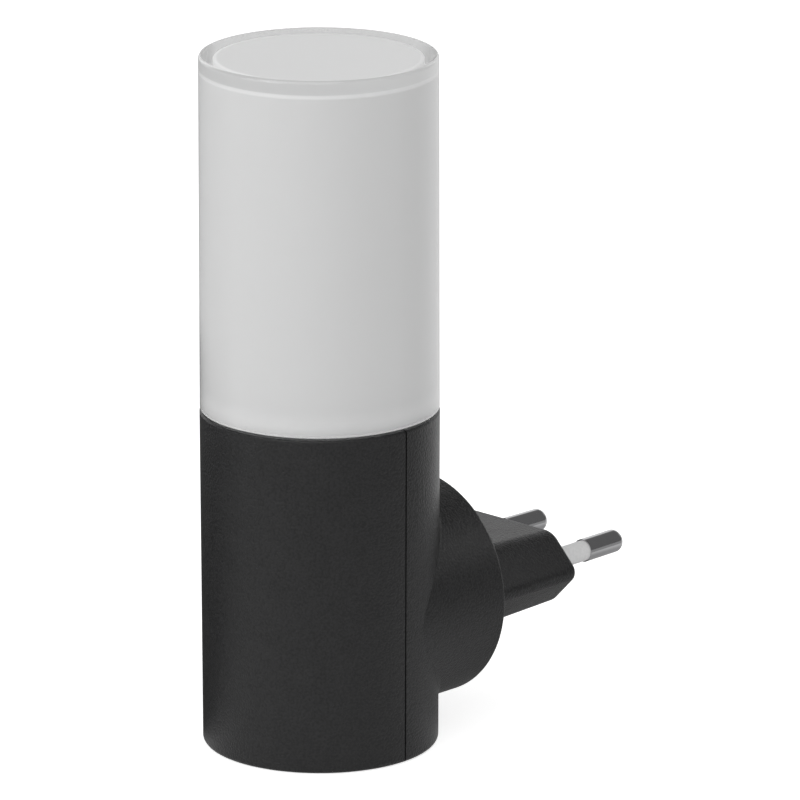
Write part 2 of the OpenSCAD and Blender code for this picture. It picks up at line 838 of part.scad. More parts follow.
module light_tray() {
    tray_low_z = foot_z - tray_t;
    boss_low_z = tray_low_z - light_boss_h;
    color(white_colour) on_body_axis() difference() {
        union() {
            z_cylinder(tray_r, 0, 0, tray_low_z, foot_z);
            z_cylinder(tray_ring_r, 0, 0, foot_z - eps, foot_z + tray_ring_h);
            for (y = light_screw_ys) z_cylinder(light_boss_r, 0, y, boss_low_z, foot_z - eps);
        }
        z_cylinder(tray_ring_r - tray_ring_wall, 0, 0, foot_z, foot_z + tray_ring_h + eps);
        for (y = light_screw_ys)
            z_cylinder(light_screw_r + snug, 0, y, boss_low_z + light_boss_floor, foot_z + eps);
        both_sides() z_cylinder(tray_hole_r, light_lead_x, 0, tray_low_z - eps, foot_z + eps);
        key_notch(tray_low_z - eps, foot_z + eps);
    }
}

module light_board() {
    color(white_colour) on_body_axis() difference() {
        z_cylinder(light_board_r, 0, 0, foot_z, light_board_z);
        for (y = light_screw_ys) z_cylinder(light_screw_r + pass, 0, y, foot_z - eps, light_board_z + eps);
        both_sides() z_cylinder(lead_hole_r, light_lead_x, 0, foot_z - eps, light_board_z + eps);
    }
}

module light_chips() {
    low = [chip_ring_r - chip_l / 2, -chip_w / 2, light_board_z];
    color(phosphor_colour) on_body_axis() for (i = [0 : chip_count - 1])
        rotate([0, 0, (i + 0.5) * 360 / chip_count]) box(low, low + [chip_l, chip_w, chip_t]);
}

module board_screws() {
    color(metal_colour) on_body_axis() for (y = light_screw_ys)
        translate([0, y, light_board_z]) rotate([90, 0, 0])
            screw(light_screw_r, light_screw_l, light_screw_head_r, light_screw_head_h);
}

// ---------- driver ----------

module driver_board() {
    color(board_colour) on_body_axis() difference() {
        box([-driver_w / 2, board_front_y, board_low_z], [driver_w / 2, board_back_y, board_high_z]);
        both_sides() y_cylinder(board_hole_r, screw_x, screw_z, board_front_y - eps, board_back_y + eps);
    }
}

// A block with its outer long edges rounded, on the front of the driver board
module film_capacitor() {
    half_w = film_w / 2 - film_corner;
    half_h = film_h / 2 - film_corner;
    color(film_colour) on_body_axis() hull() for (x = [-half_w, half_w], z = [-half_h, half_h])
        y_cylinder(film_corner, x, film_z + z, board_front_y - film_d, board_front_y, $fn = corner_fn);
}

// A can capacitor that stands on the front of the driver board, with its crimped groove
module can(r, l, at) {
    color(can_colour) on_body_axis() difference() {
        y_cylinder(r, at[0], at[1], board_front_y - l, board_front_y);
        translate([at[0], board_front_y - can_groove_up, at[1]]) backwards() rotate_extrude()
            translate([r, 0]) circle(r = can_groove_r);
    }
}
module bulk_capacitor() can(bulk_r, bulk_l, bulk_at);
module output_capacitor() can(output_r, output_l, output_at);

// A drum core with its winding
module inductor() {
    end_y = board_front_y - inductor_l;
    color(copper_colour) on_body_axis() {
        y_cylinder(inductor_core_r, inductor_at[0], inductor_at[1], end_y, board_front_y);
        for (y = [end_y, board_front_y - inductor_cheek])
            y_cylinder(inductor_r, inductor_at[0], inductor_at[1], y, y + inductor_cheek);
    }
}

// A coated disc that stands off the board on two wires
module varistor() {
    disc_y = board_front_y - varistor_leg;
    color(varistor_colour) on_body_axis() {
        y_cylinder(varistor_r, varistor_at[0], varistor_at[1], disc_y - varistor_t, disc_y);
        for (x = [-varistor_leg_x, varistor_leg_x])
            y_cylinder(wire_r, varistor_at[0] + x, varistor_at[1], disc_y - eps, board_front_y);
    }
}

// A moulded package on the back of the board, with a row of bent legs above and below it
module package(size, z, legs) {
    half = size / 2;
    leg_half_h = leg_size[2] / 2;
    color(black_colour) on_body_axis() {
        box([-half[0], board_back_y + slack, z - half[2]],
            [half[0], board_back_y + size[1], z + half[2]]);
        for (side = [-1, 1], i = [0 : legs - 1])
            translate([(i - (legs - 1) / 2) * leg_pitch, board_back_y, z + side * half[2]])
                box([-leg_size[0] / 2, 0, -leg_half_h], [leg_size[0] / 2, leg_size[1], leg_half_h]);
    }
}
module bridge_rectifier() package(bridge_size, bridge_z, bridge_legs);
module driver_chip() package(chip_size, chip_z, chip_legs);

// A resistor that lies along the board on its two bent wires
module fuse_resistor() {
    half_l = fuse_l / 2;
    up = fuse_r + slack;
    color(fuse_colour) on_body_axis() translate([fuse_at[0], board_back_y + up, fuse_at[1]]) {
        x_cylinder(fuse_r, 0, 0, half_l);
        x_cylinder(wire_r, 0, 0, half_l + fuse_bend + wire_r);
        both_sides() y_cylinder(wire_r, half_l + fuse_bend, 0, -up, 0);
    }
}

// ---------- switch ----------

// The flat blade of a terminal at y, or the slot that it passes through, from z0 to z1
module blade(y, gap, z0, z1) {
    box([-blade_half_w - gap, y - blade_t / 2 - gap, z0], [blade_half_w + gap, y + blade_t / 2 + gap, z1]);
}

module switch_housing() {
    color(black_colour) on_body_axis() difference() {
        union() {
            box([-housing_x, -housing_y, floor_z], [housing_x, housing_y, housing_top_z]);
            box([-housing_x - housing_flange, -housing_y - housing_flange, floor_z],
                [housing_x + housing_flange, housing_y + housing_flange, floor_z + housing_flange_t]);
        }
        box([-housing_x + housing_wall, -housing_y + housing_wall, floor_z - eps],
            [housing_x - housing_wall, housing_y - housing_wall, housing_top_z - housing_wall]);
        x_cylinder(axle_r + axle_gap, 0, axle_z, housing_x + eps);
        for (y = [0, live_y])
            blade(y, blade_gap, housing_top_z - housing_wall - eps, housing_top_z + eps);
    }
}

// The side view of the rocker about its axle, level: y is front to back, z is up
module rocker_outline() {
    half_l = rocker_l / 2;
    end_low = -rocker_valley - rocker_dip;
    polygon([
        [-half_l, end_low], [0, -rocker_valley], [half_l, end_low], [half_l, -rocker_side_h],
        [rocker_back_half, rocker_back], [-rocker_back_half, rocker_back], [-half_l, -rocker_side_h]
    ]);
}

// Puts its children on the rocker's axle, tilted to the off position
module on_rocker() {
    on_body_axis() translate([0, 0, axle_z]) rotate([rocker_throw / 2, 0, 0]) children();
}

module rocker() {
    color(black_colour) on_rocker() difference() {
        union() {
            translate([-rocker_w / 2, 0, 0]) rotate([90, 0, 90])
                linear_extrude(rocker_w) rocker_outline();
            x_cylinder(axle_r, 0, 0, axle_half_l);
            z_cylinder(stem_r, 0, 0, 0, stem_top);
        }
        z_cylinder(plunger_bore_r, 0, 0, bore_bottom, stem_top + eps);
    }
}

module plunger() {
    color(white_colour) on_rocker() {
        z_cylinder(plunger_r, 0, 0, plunger_bottom, plunger_tip - plunger_r);
        translate([0, 0, plunger_tip - plunger_r]) sphere(r = plunger_r);
    }
}

module plunger_spring() {
    steps = spring_steps * spring_turns;
    low = bore_bottom + spring_wire_r + snug;
    rise = plunger_bottom - spring_wire_r - snug - low;
    path = [for (i = [0 : steps])
        let (turned = 360 * spring_turns * i / steps)
        [spring_coil_r * cos(turned), spring_coil_r * sin(turned), low + rise * i / steps]];
    color(metal_colour) on_rocker() tube_along(path, spring_wire_r, path, [0, 0, 1], spring_sides);
}

// The see-saw strip: it rocks on the common terminal's round edge, and its back end makes contact
module contact_lever() {
    color(brass_colour) on_body_axis() translate([0, 0, pivot_z]) rotate([-lever_throw / 2, 0, 0])
        box([-lever_half_w, -lever_half_l, -lever_drop - lever_t],
            [lever_half_w, lever_half_l, -lever_drop]);
}

module common_terminal() {
    color(brass_colour) on_body_axis() {
        x_cylinder(bead_r, 0, pivot_z, blade_half_w);
        box([-blade_half_w, -bead_r, pivot_z], [blade_half_w, bead_r, housing_top_z]);
        blade(0, 0, housing_top_z - housing_wall, blade_top_z);
    }
}

module live_terminal() {
    color(brass_colour) on_body_axis() {
        box([-blade_half_w, live_y - contact_half_l, contact_z],
            [blade_half_w, live_y + contact_half_l, contact_z + contact_t]);
        blade(live_y, 0, contact_z, blade_top_z);
    }
}

// ---------- leads ----------

module live_lead() color(brown_colour) lead(live_route, lead_r);
module neutral_lead() color(blue_colour) lead(neutral_route, lead_r);
module switched_lead() color(black_colour) lead(switched_route, lead_r);
module light_lead_plus() color(red_colour) lead(light_route, thin_lead_r);
module light_lead_minus() {
    color(black_colour) lead([for (p = light_route) [-p[0], p[1], p[2]]], thin_lead_r);
}

outer_cup();
opal_cup();
front_shell();
rear_shell();
case_screws();
plug_block();
plug_clamp();
clamp_screws();
live_pin();
neutral_pin();
live_sleeve();
neutral_sleeve();
light_tray();
light_board();
light_chips();
board_screws();
driver_board();
film_capacitor();
bulk_capacitor();
output_capacitor();
inductor();
varistor();
bridge_rectifier();
driver_chip();
fuse_resistor();
switch_housing();
rocker();
plunger();
plunger_spring();
contact_lever();
common_terminal();
live_terminal();
live_lead();
neutral_lead();
switched_lead();
light_lead_plus();
light_lead_minus();
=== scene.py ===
# %% [markdown]
# # A plug-in night light
# The lamp is a clear cup over an opal cup, standing on two dark half shells with a
# two-pin mains plug on their back. Its solids come as a fixed frame, in metres, and
# this script gives them their finishes and models what the frame leaves plain.

# %% Load the frame
import json
import math

import bmesh
import bpy
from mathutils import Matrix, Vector


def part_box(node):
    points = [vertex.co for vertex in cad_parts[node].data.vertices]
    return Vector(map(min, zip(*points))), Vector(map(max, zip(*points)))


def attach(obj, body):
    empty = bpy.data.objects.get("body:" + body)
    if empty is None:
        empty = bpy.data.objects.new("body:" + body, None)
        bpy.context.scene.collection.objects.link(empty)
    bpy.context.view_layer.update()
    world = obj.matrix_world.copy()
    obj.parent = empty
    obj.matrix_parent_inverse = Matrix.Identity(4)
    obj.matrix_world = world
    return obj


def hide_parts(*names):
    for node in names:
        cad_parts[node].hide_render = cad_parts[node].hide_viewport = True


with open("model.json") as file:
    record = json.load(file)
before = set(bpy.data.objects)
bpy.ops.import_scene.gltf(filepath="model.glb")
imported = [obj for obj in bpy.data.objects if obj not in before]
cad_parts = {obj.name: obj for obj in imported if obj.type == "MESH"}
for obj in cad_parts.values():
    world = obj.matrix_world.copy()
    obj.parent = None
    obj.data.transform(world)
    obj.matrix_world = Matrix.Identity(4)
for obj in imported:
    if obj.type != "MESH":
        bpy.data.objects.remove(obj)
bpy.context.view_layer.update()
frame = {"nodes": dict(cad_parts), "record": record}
mm = 0.001

# %% [markdown]
# ## Places
# The body is round about one upright axis, so that axis and a few heights place most
# of the pieces. They are read from the frame and not typed in again.

# %% Heights and the body's axis
body_y = (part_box("opal_cup")[0].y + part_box("opal_cup")[1].y) / 2
base_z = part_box("front_shell")[0].z
rim_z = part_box("front_shell")[1].z
foot_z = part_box("outer_cup")[0].z
top_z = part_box("outer_cup")[1].z
print(f"axis at y {body_y / mm:.1f} mm, base {base_z / mm:.1f}, rim {rim_z / mm:.1f}, top {top_z / mm:.1f}")

# %% [markdown]
# ## Camera
# A long lens from far away keeps upright edges upright and shows the lamp as a
# catalogue does: a little from above, and turned so that the plug is seen side on.
# The camera stands on a line through a point near the lamp's middle.

# %% Place the camera
camera_azimuth = math.radians(44.0)
camera_elevation = math.radians(15.96)
camera_distance = 1243 * mm
camera_aim = Vector((2.907, -28.804, 33.668)) * mm
towards_camera = Vector((
    math.sin(camera_azimuth) * math.cos(camera_elevation),
    -math.cos(camera_azimuth) * math.cos(camera_elevation),
    math.sin(camera_elevation),
))
camera = bpy.data.objects.new("camera", bpy.data.cameras.new("camera"))
camera.data.lens = 333.9
camera.data.sensor_width = 36
camera.data.clip_end = 100
camera.location = camera_aim + camera_distance * towards_camera
camera.rotation_euler = (math.pi / 2 - camera_elevation, 0, camera_azimuth)
bpy.context.scene.collection.objects.link(camera)
bpy.context.scene.camera = camera
bpy.context.scene.view_settings.view_transform = "Standard"
print("camera at", [round(x, 3) for x in camera.location], "m")

# %% [markdown]
# ## Shader nodes as sums
# A finish is a small calculation at each point of a surface. Node trees draw that
# calculation as boxes and wires, and long ones are hard to read in code. So a wire is
# wrapped in a class whose +, - and * add the Math nodes, and a finish reads like a
# formula. Every other kind of node comes from one method, `node`. A colour or a
# direction would lose its parts in a Math node, so those go through a Mix node or
# through `vectors`.

# %% Wires and recipes
class Wire:
    """The output of a shader node. Arithmetic on it adds Math nodes."""

    def __init__(self, recipe, socket):
        self.recipe = recipe
        self.socket = socket

    def out(self, name):
        """Another output of the same node."""
        return Wire(self.recipe, self.socket.node.outputs[name])

    def maths(self, operation, *terms):
        return self.recipe.node("ShaderNodeMath", {"operation": operation}, dict(enumerate(terms)))

    def __add__(self, other):
        return self.maths("ADD", self, other)

    def __sub__(self, other):
        return self.maths("SUBTRACT", self, other)

    def __mul__(self, other):
        return self.maths("MULTIPLY", self, other)

    def __rsub__(self, other):
        return self.maths("SUBTRACT", other, self)

    __radd__ = __add__
    __rmul__ = __mul__


class Recipe:
    """The node tree of one material, or of the world."""

    def __init__(self, owner):
        owner.use_nodes = True
        self.owner = owner
        self.tree = owner.node_tree
        self.tree.nodes.clear()

    def node(self, kind, settings=None, sockets=None):
        """Adds a node, sets its settings first and then its sockets' values or links."""
        made = self.tree.nodes.new(kind)
        for name, value in (settings or {}).items():
            setattr(made, name, value)
        for name, value in (sockets or {}).items():
            if isinstance(value, Wire):
                self.tree.links.new(value.socket, made.inputs[name])
            else:
                made.inputs[name].default_value = value
        return Wire(self, made.outputs[0]) if made.outputs else None

    def vectors(self, operation, *terms):
        """A Vector Math node, for sums on directions and places."""
        return self.node("ShaderNodeVectorMath", {"operation": operation}, dict(enumerate(terms)))


def larger(one, other):
    """The larger of two wires' values, at each point."""
    return one.maths("MAXIMUM", one, other)


def grey(level):
    """A neutral colour, with level as linear light from 0 to 1."""
    return (level, level, level, 1)


# %% [markdown]
# ## The studio
# A studio shows a small product on a sweep: pale paper that runs from the table up
# the walls. The camera sees it as pure white. Gloss and clear plastic see the same
# paper a little greyer, a dark ceiling above it, and one dark gap on the right, which
# draws the dark band down a plated pin. This can be built from cards and lamps, but a
# world that answers each kind of ray is simpler and has no noise. Everything matt gets
# the same soft light from every side.

# %% World
def smooth_step(recipe, value, start, end):
    """0 below start and 1 above end, with a soft turn between."""
    settings = {"interpolation_type": "SMOOTHSTEP"}
    sockets = {"Value": value, "From Min": start, "From Max": end}
    return recipe.node("ShaderNodeMapRange", settings, sockets)


def facing(recipe, direction, towards):
    """How nearly a direction points towards another, from -1 to 1."""
    return recipe.vectors("DOT_PRODUCT", direction, towards).out("Value")


def level_direction(degrees):
    """The level direction that is so many degrees round from the x axis."""
    turn = math.radians(degrees)
    return (math.cos(turn), math.sin(turn), 0)


def dress_world():
    sky_light = 0.64
    sweep_gloss = 0.93
    room_gloss = 0.16
    gap_degrees = 42
    world = bpy.data.worlds.new("studio")
    bpy.context.scene.world = world
    recipe = Recipe(world)
    direction = recipe.node("ShaderNodeTexCoord").out("Generated")
    ray = recipe.node("ShaderNodeLightPath")
    upward = facing(recipe, direction, (0, 0, 1))
    ceiling = smooth_step(recipe, upward, start=0.36, end=0.56)
    rightward = facing(recipe, direction, level_direction(gap_degrees))
    gap = smooth_step(recipe, rightward, start=0.55, end=0.85)
    gloss = (1 - ceiling) * (1 - gap) * (sweep_gloss - room_gloss) + room_gloss
    is_seen = ray.out("Is Camera Ray")
    is_gloss = ray.out("Is Glossy Ray") + ray.out("Is Transmission Ray")
    is_matt = 1 - is_gloss - is_seen
    level = is_seen + is_gloss * gloss + is_matt * sky_light
    background = recipe.node("ShaderNodeBackground", {}, {"Color": grey(1), "Strength": level})
    recipe.node("ShaderNodeOutputWorld", {}, {"Surface": background})
    print("world: soft light", sky_light)


dress_world()


# %% [markdown]
# ## Lamps
# Four square lamps shape the object on top of the even light. A large softbox stands
# in front, on the camera's left, and a weaker one high on the right. Two more are for
# gloss alone: one overhead draws the thin lights along the round edges, and a small
# one close by gives the round boss its soft sheen. Its narrow spread keeps it off the
# cup.

# %% Softboxes
def softbox(name, target, towards, distance, width, power, spread=180):
    """A square area lamp, spread degrees wide, that looks at a target from a distance."""
    lamp = bpy.data.lights.new(name, "AREA")
    lamp.size = width
    lamp.energy = power
    lamp.spread = math.radians(spread)
    placed = bpy.data.objects.new(name, lamp)
    bpy.context.scene.collection.objects.link(placed)
    placed.location = Vector(target) + distance * Vector(towards).normalized()
    placed.rotation_euler = Vector(towards).to_track_quat("Z", "Y").to_euler()
    print(name, f"{width / mm:.0f} mm wide,", power, "W")
    return placed


softbox("front_softbox", camera_aim, towards=(-0.2, -1, 0.46), distance=0.9, width=0.7, power=2.5)
softbox("right_softbox", camera_aim, towards=(0.9, 0.1, 0.55), distance=0.8, width=0.45, power=0.5)
overhead = softbox(
    "overhead_softbox", camera_aim, towards=(0.2, -0.55, 0.82), distance=0.9, width=1.0, power=6.0)
boss_side = Vector((18, -27, 10)) * mm
reflector = softbox(
    "boss_reflector", boss_side, towards=(0.506, 0.691, 0.516),
    distance=60 * mm, width=30 * mm, power=0.00115, spread=88)
for lamp in (overhead, reflector):
    lamp.visible_diffuse = False
    lamp.visible_transmission = False
    lamp.visible_camera = False

# %% [markdown]
# The table is a flat sheet. For matt light it is plain pale paper, which throws light
# up under the lamp. The camera sees the same paper with some light of its own added,
# so that it is white where nothing shades it and the object still drops a soft shadow.
# Only gloss sees darker areas on it, all painted into the paper's colour: painted shade
# on the left in place of a black card, which draws the dark left edge of the body,
# painted shade on the paper further out, which the lamps reach less, and least of all on
# the right, and a painted shadow right under the plug, where the lamp stands in the
# light's way.

# %% Table
def place(recipe):
    """Where a point is on the object, in metres."""
    return recipe.node("ShaderNodeTexCoord").out("Object")


def make_table():
    table_size = 6
    gap = 0.05 * mm
    paper = 0.86
    lift = 0.7
    gloss_lift = 0.22
    left_painted_shade_depth = 0.94
    left_painted_shade_fade = 0.4
    far_painted_shade = 0.55
    under_plug_painted_shadow = 0.5
    outer_painted_shade = 0.33
    bpy.ops.object.select_all(action="DESELECT")
    bpy.ops.mesh.primitive_plane_add(size=table_size, location=(0, 0, base_z - gap))
    table = bpy.context.object
    table.name = "table"
    material = bpy.data.materials.new("paper")
    recipe = Recipe(material)
    ray = recipe.node("ShaderNodeLightPath")
    from_lamp = recipe.vectors("SUBTRACT", place(recipe), (0, body_y, 0))
    out = recipe.vectors("NORMALIZE", from_lamp)
    distance = recipe.vectors("LENGTH", from_lamp).out("Value")

    def sector(degrees, start, end):
        """1 in one direction from the lamp, and 0 away from it. Start and end are cosines."""
        return smooth_step(recipe, facing(recipe, out, level_direction(degrees)), start, end)

    def beyond(start, end):
        """0 nearer to the lamp than start, and 1 further away than end."""
        return smooth_step(recipe, distance, start, end)

    # painted shade and a painted shadow on the paper, which gloss alone sees
    left_painted_shade = sector(175, start=0.4, end=0.85) * (left_painted_shade_depth - left_painted_shade_fade * beyond(240 * mm, 290 * mm))
    far = sector(52, start=0.93, end=0.985) * beyond(110 * mm, 150 * mm) * far_painted_shade
    under = sector(84, start=0.82, end=0.97) * (1 - beyond(80 * mm, 120 * mm)) * under_plug_painted_shadow
    outer = (1 - sector(115, start=0.7, end=0.95)) * beyond(50 * mm, 170 * mm) * outer_painted_shade
    painted_shade = larger(left_painted_shade, larger(far, larger(outer, under)))
    is_gloss = ray.out("Is Glossy Ray")
    # the paper's colour for gloss rays, after the painted shade
    after_painted_shade = 1 - painted_shade * is_gloss
    glow_level = ray.out("Is Camera Ray") * lift + is_gloss * after_painted_shade * gloss_lift
    plain = recipe.node("ShaderNodeBsdfDiffuse", {}, {"Color": paper * after_painted_shade})
    glow = recipe.node("ShaderNodeEmission", {}, {"Color": grey(1), "Strength": glow_level})
    lit = recipe.node("ShaderNodeAddShader", {}, {0: plain, 1: glow})
    recipe.node("ShaderNodeOutputMaterial", {}, {"Surface": lit})
    table.data.materials.append(material)
    print("table at", f"{base_z / mm:.1f} mm")


make_table()


# %% [markdown]
# ## Finishes
# Each finish is a short recipe on the object's own coordinates, so that its grain has
# a real size in millimetres and stays put when a piece turns. Most of the parts are
# moulded plastic: one recipe with a grain that can be coarse and deep, as on the
# spark-eroded shells, or fine and shallow, as on a white bobbin.

# %% Helpers for finishes
def noise(recipe, grain_size, detail=2.0, stretch=None):
    """Soft random patches, from 0 to 1, about grain_size metres across."""
    where = place(recipe)
    if stretch:
        where = recipe.vectors("MULTIPLY", where, stretch)
    sockets = {"Vector": where, "Scale": 1 / grain_size, "Detail": detail}
    return recipe.node("ShaderNodeTexNoise", {}, sockets)


def shaded(recipe, colour, change, mask):
    """A colour that is darker by a share where the mask is 0, and lighter by it where it is 1.

    A Mix node has sockets for each type of value: 6 and 7 take its colours, and output
    2 gives the mixed one.
    """
    low = tuple(c * (1 - change) for c in colour[:3]) + (1,)
    high = tuple(c * (1 + change) for c in colour[:3]) + (1,)
    mixed = recipe.node("ShaderNodeMix", {"data_type": "RGBA"}, {0: mask, 6: low, 7: high})
    return mixed.out(2)


def bump(recipe, height, depth):
    """A normal for relief that is depth metres high where height goes from 0 to 1."""
    return recipe.node("ShaderNodeBump", {}, {"Height": height, "Distance": depth, "Strength": 1})


def surface(recipe, sockets):
    """Ends a recipe with a Principled shader."""
    shader = recipe.node("ShaderNodeBsdfPrincipled", {}, sockets)
    recipe.node("ShaderNodeOutputMaterial", {}, {"Surface": shader})
    return recipe.owner


# %% [markdown]
# A moulded finish takes its colour, its roughness, and the size and the depth of its
# grain. The mottle is the share by which its tone changes.

# %% Moulded plastic
finishes = {}


def moulded(name, colour, roughness, grain_size, grain_depth, mottle=0.06, specular=0.5):
    """Moulded plastic: a grained skin with slow changes of tone and gloss."""
    patch_size = 9 * grain_size
    grain_share = 0.6
    gloss_change = 0.1
    recipe = Recipe(bpy.data.materials.new(name))
    grain = smooth_step(recipe, noise(recipe, grain_size, detail=3), start=0.3, end=0.7)
    patches = noise(recipe, patch_size)
    tone = grain * grain_share + patches * (1 - grain_share)
    finishes[name] = surface(recipe, {
        "Base Color": shaded(recipe, colour, mottle, tone),
        "Roughness": roughness + (patches - 0.5) * gloss_change,
        "Normal": bump(recipe, grain, grain_depth),
        "Specular IOR Level": specular,
    })


moulded("dark_shell", (0.018, 0.018, 0.0185), 0.32, 0.4 * mm, 0.05 * mm, mottle=0.4, specular=0.25)
moulded("pale_sleeve", grey(0.78), 0.45, 0.6 * mm, 0.01 * mm)
moulded("white_plastic", (0.8, 0.8, 0.78), 0.45, 0.5 * mm, 0.01 * mm)
moulded("black_package", grey(0.02), 0.55, 0.15 * mm, 0.02 * mm)
moulded("switch_black", grey(0.016), 0.4, 0.3 * mm, 0.02 * mm)
moulded("yellow_case", (0.7, 0.42, 0.03), 0.35, 0.6 * mm, 0.01 * mm)
moulded("can_sleeve", (0.03, 0.04, 0.09), 0.25, 1.2 * mm, 0.01 * mm)
moulded("blue_coating", (0.03, 0.1, 0.4), 0.3, 1.5 * mm, 0.05 * mm)
moulded("green_coating", (0.1, 0.22, 0.13), 0.35, 0.8 * mm, 0.03 * mm)
moulded("brown_lead", (0.16, 0.06, 0.02), 0.4, 0.8 * mm, 0.02 * mm)
moulded("blue_lead", (0.03, 0.1, 0.45), 0.4, 0.8 * mm, 0.02 * mm)
moulded("black_lead", grey(0.015), 0.4, 0.8 * mm, 0.02 * mm)
moulded("red_lead", (0.45, 0.015, 0.01), 0.4, 0.8 * mm, 0.02 * mm)
moulded("light_chip", (0.85, 0.7, 0.2), 0.5, 0.2 * mm, 0.02 * mm)
moulded("white_board", (0.82, 0.82, 0.8), 0.3, 1.5 * mm, 0.01 * mm)
moulded("green_board", (0.015, 0.12, 0.04), 0.3, 0.7 * mm, 0.015 * mm, mottle=0.15)
print(len(finishes), "moulded finishes")


# %% [markdown]
# Metal parts are drawn, turned or stamped. Their tool leaves fine lines, so the noise
# is squeezed or stretched along one direction, and it changes the gloss more than the
# colour.

# %% Metals
def worked_metal(name, colour, roughness, line_size, depth, stretch):
    """Bare metal with tool lines, which run along the axes where the stretch is small."""
    tone_change = 0.05
    gloss_change = 0.1
    recipe = Recipe(bpy.data.materials.new(name))
    lines = noise(recipe, line_size, stretch=stretch)
    finishes[name] = surface(recipe, {
        "Base Color": shaded(recipe, colour, tone_change, lines),
        "Metallic": 1.0,
        "Roughness": roughness + (lines - 0.5) * gloss_change,
        "Normal": bump(recipe, lines, depth),
    })


turned = (0.2, 4, 0.2)
stamped = (1, 0.2, 1)
wound = (0.1, 4, 0.1)
worked_metal("plated_pin", (0.52, 0.52, 0.53), 0.12, 0.8 * mm, 0.002 * mm, turned)
worked_metal("screw_steel", (0.55, 0.55, 0.56), 0.3, 0.8 * mm, 0.004 * mm, turned)
worked_metal("contact_brass", (0.78, 0.57, 0.22), 0.28, 0.8 * mm, 0.004 * mm, stamped)
worked_metal("copper_winding", (0.72, 0.3, 0.13), 0.3, 0.9 * mm, 0.05 * mm, wound)
print("with the metals:", len(finishes), "finishes")


# %% [markdown]
# Opal acrylic is milky all through. Light that enters it comes out again some way off,
# so the cup's foot stays light where the dark shells close round it, and its round top
# edge, which light reaches from two sides, looks a little lighter than the rest. The
# recipe paints this into the colour: painted light on the foot and a painted highlight
# along the top edge. The scene's own opal cup, further down, is a little taller than its
# solid, so the edge is looked for that much higher.

# %% Opal acrylic
def opal_acrylic():
    white = 0.72
    lift = 0.25
    even = 0.5
    foot_painted_light_share = 0.5
    edge_painted_highlight_share = 0.35
    foot_painted_light_fade = 5 * mm
    taller = 0.12 * mm
    recipe = Recipe(bpy.data.materials.new("opal_acrylic"))
    height = recipe.node("ShaderNodeSeparateXYZ", {}, {0: place(recipe)}).out("Z")
    # painted light: the foot is lighter where the dark shells close round it
    foot = 1 - smooth_step(recipe, height, rim_z, rim_z + foot_painted_light_fade)
    edge_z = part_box("opal_cup")[1].z + taller
    # painted highlight along the round top edge, which stops short of the flat top
    below = smooth_step(recipe, height, start=edge_z - 0.8 * mm, end=edge_z - 0.4 * mm)
    above = smooth_step(recipe, height, start=edge_z - 0.06 * mm, end=edge_z - 0.01 * mm)
    # the mask lifts the tone for the painted light on the foot and the painted highlight on the edge
    mask = even + foot_painted_light_share * foot + edge_painted_highlight_share * (below - above)
    finishes["opal_acrylic"] = surface(recipe, {
        "Base Color": shaded(recipe, grey(white), lift, mask),
        "Roughness": 0.6,
        "Specular IOR Level": 0.0,
    })
    print("opal acrylic: white", white)


opal_acrylic()


# %% [markdown]
# The outer cup is clear acrylic. Light bends in it, so it is real glass to the
# renderer. Lamps can't find what is behind bent glass without a lot of noise, so for
# shadows and for matt light the cup is simply transparent.

# %% Clear acrylic
def clear_acrylic():
    ripple_size = 6 * mm
    ripple_depth = 0.002 * mm
    recipe = Recipe(bpy.data.materials.new("clear_acrylic"))
    ray = recipe.node("ShaderNodeLightPath")
    ripple = noise(recipe, ripple_size)
    clear = recipe.node("ShaderNodeBsdfPrincipled", {}, {
        "Base Color": (0.97, 0.975, 0.975, 1),
        "Transmission Weight": 0.88,
        "IOR": 1.49,
        "Roughness": 0.12,
        "Normal": bump(recipe, ripple, ripple_depth),
    })
    passing = recipe.node("ShaderNodeBsdfTransparent", {}, {"Color": grey(0.93)})
    passes = larger(ray.out("Is Shadow Ray"), ray.out("Is Diffuse Ray"))
    mixed = recipe.node("ShaderNodeMixShader", {}, {0: passes, 1: clear, 2: passing})
    recipe.node("ShaderNodeOutputMaterial", {}, {"Surface": mixed})
    finishes["clear_acrylic"] = recipe.owner
    print(len(finishes), "finishes in all")


clear_acrylic()


# %% [markdown]
# ## Carried-over solids
# A solid whose shape is right stays as it is and only gets its finish. The record
# names a slot for each node, and the finishes have the same names.

# %% Dress the solids
slots = {part["node"]: part["material_slot"] for part in frame["record"]["subparts"]}
for node, solid in frame["nodes"].items():
    solid.data.materials.clear()
    solid.data.materials.append(finishes[slots[node]])
print(len(slots), "solids dressed")


# %% [markdown]
# ## Modelling by hand, in code
# A new piece starts as a primitive at its size and place. Its place is applied at
# once, so that the mesh holds real coordinates, and then it is shaped in edit mode:
# faces or edges are picked by where they are, and an operator works on them.

# %% Picking and shaping
round_steps = 192
edge_steps = 8


def start_cylinder(name, radius, low, high):
    """An upright cylinder on the body's axis, ready in edit mode."""
    bpy.ops.object.select_all(action="DESELECT")
    bpy.ops.mesh.primitive_cylinder_add(
        vertices=round_steps, radius=radius, depth=high - low, location=(0, body_y, (low + high) / 2))
    bpy.context.object.name = name
    bpy.ops.object.transform_apply(location=True, rotation=True, scale=True)
    bpy.ops.object.mode_set(mode="EDIT")
    return bpy.context.object


def pick(kind, test):
    """Selects the faces or edges of the piece in edit mode that pass the test."""
    bpy.ops.mesh.select_mode(type=kind)
    bpy.ops.mesh.select_all(action="DESELECT")
    mesh = bmesh.from_edit_mesh(bpy.context.object.data)
    for part in {"FACE": mesh.faces, "EDGE": mesh.edges}[kind]:
        part.select_set(test(part))
    bmesh.update_edit_mesh(bpy.context.object.data)


def from_axis(vertex):
    """How far a vertex is from the body's axis."""
    return math.hypot(vertex.co.x, vertex.co.y - body_y)


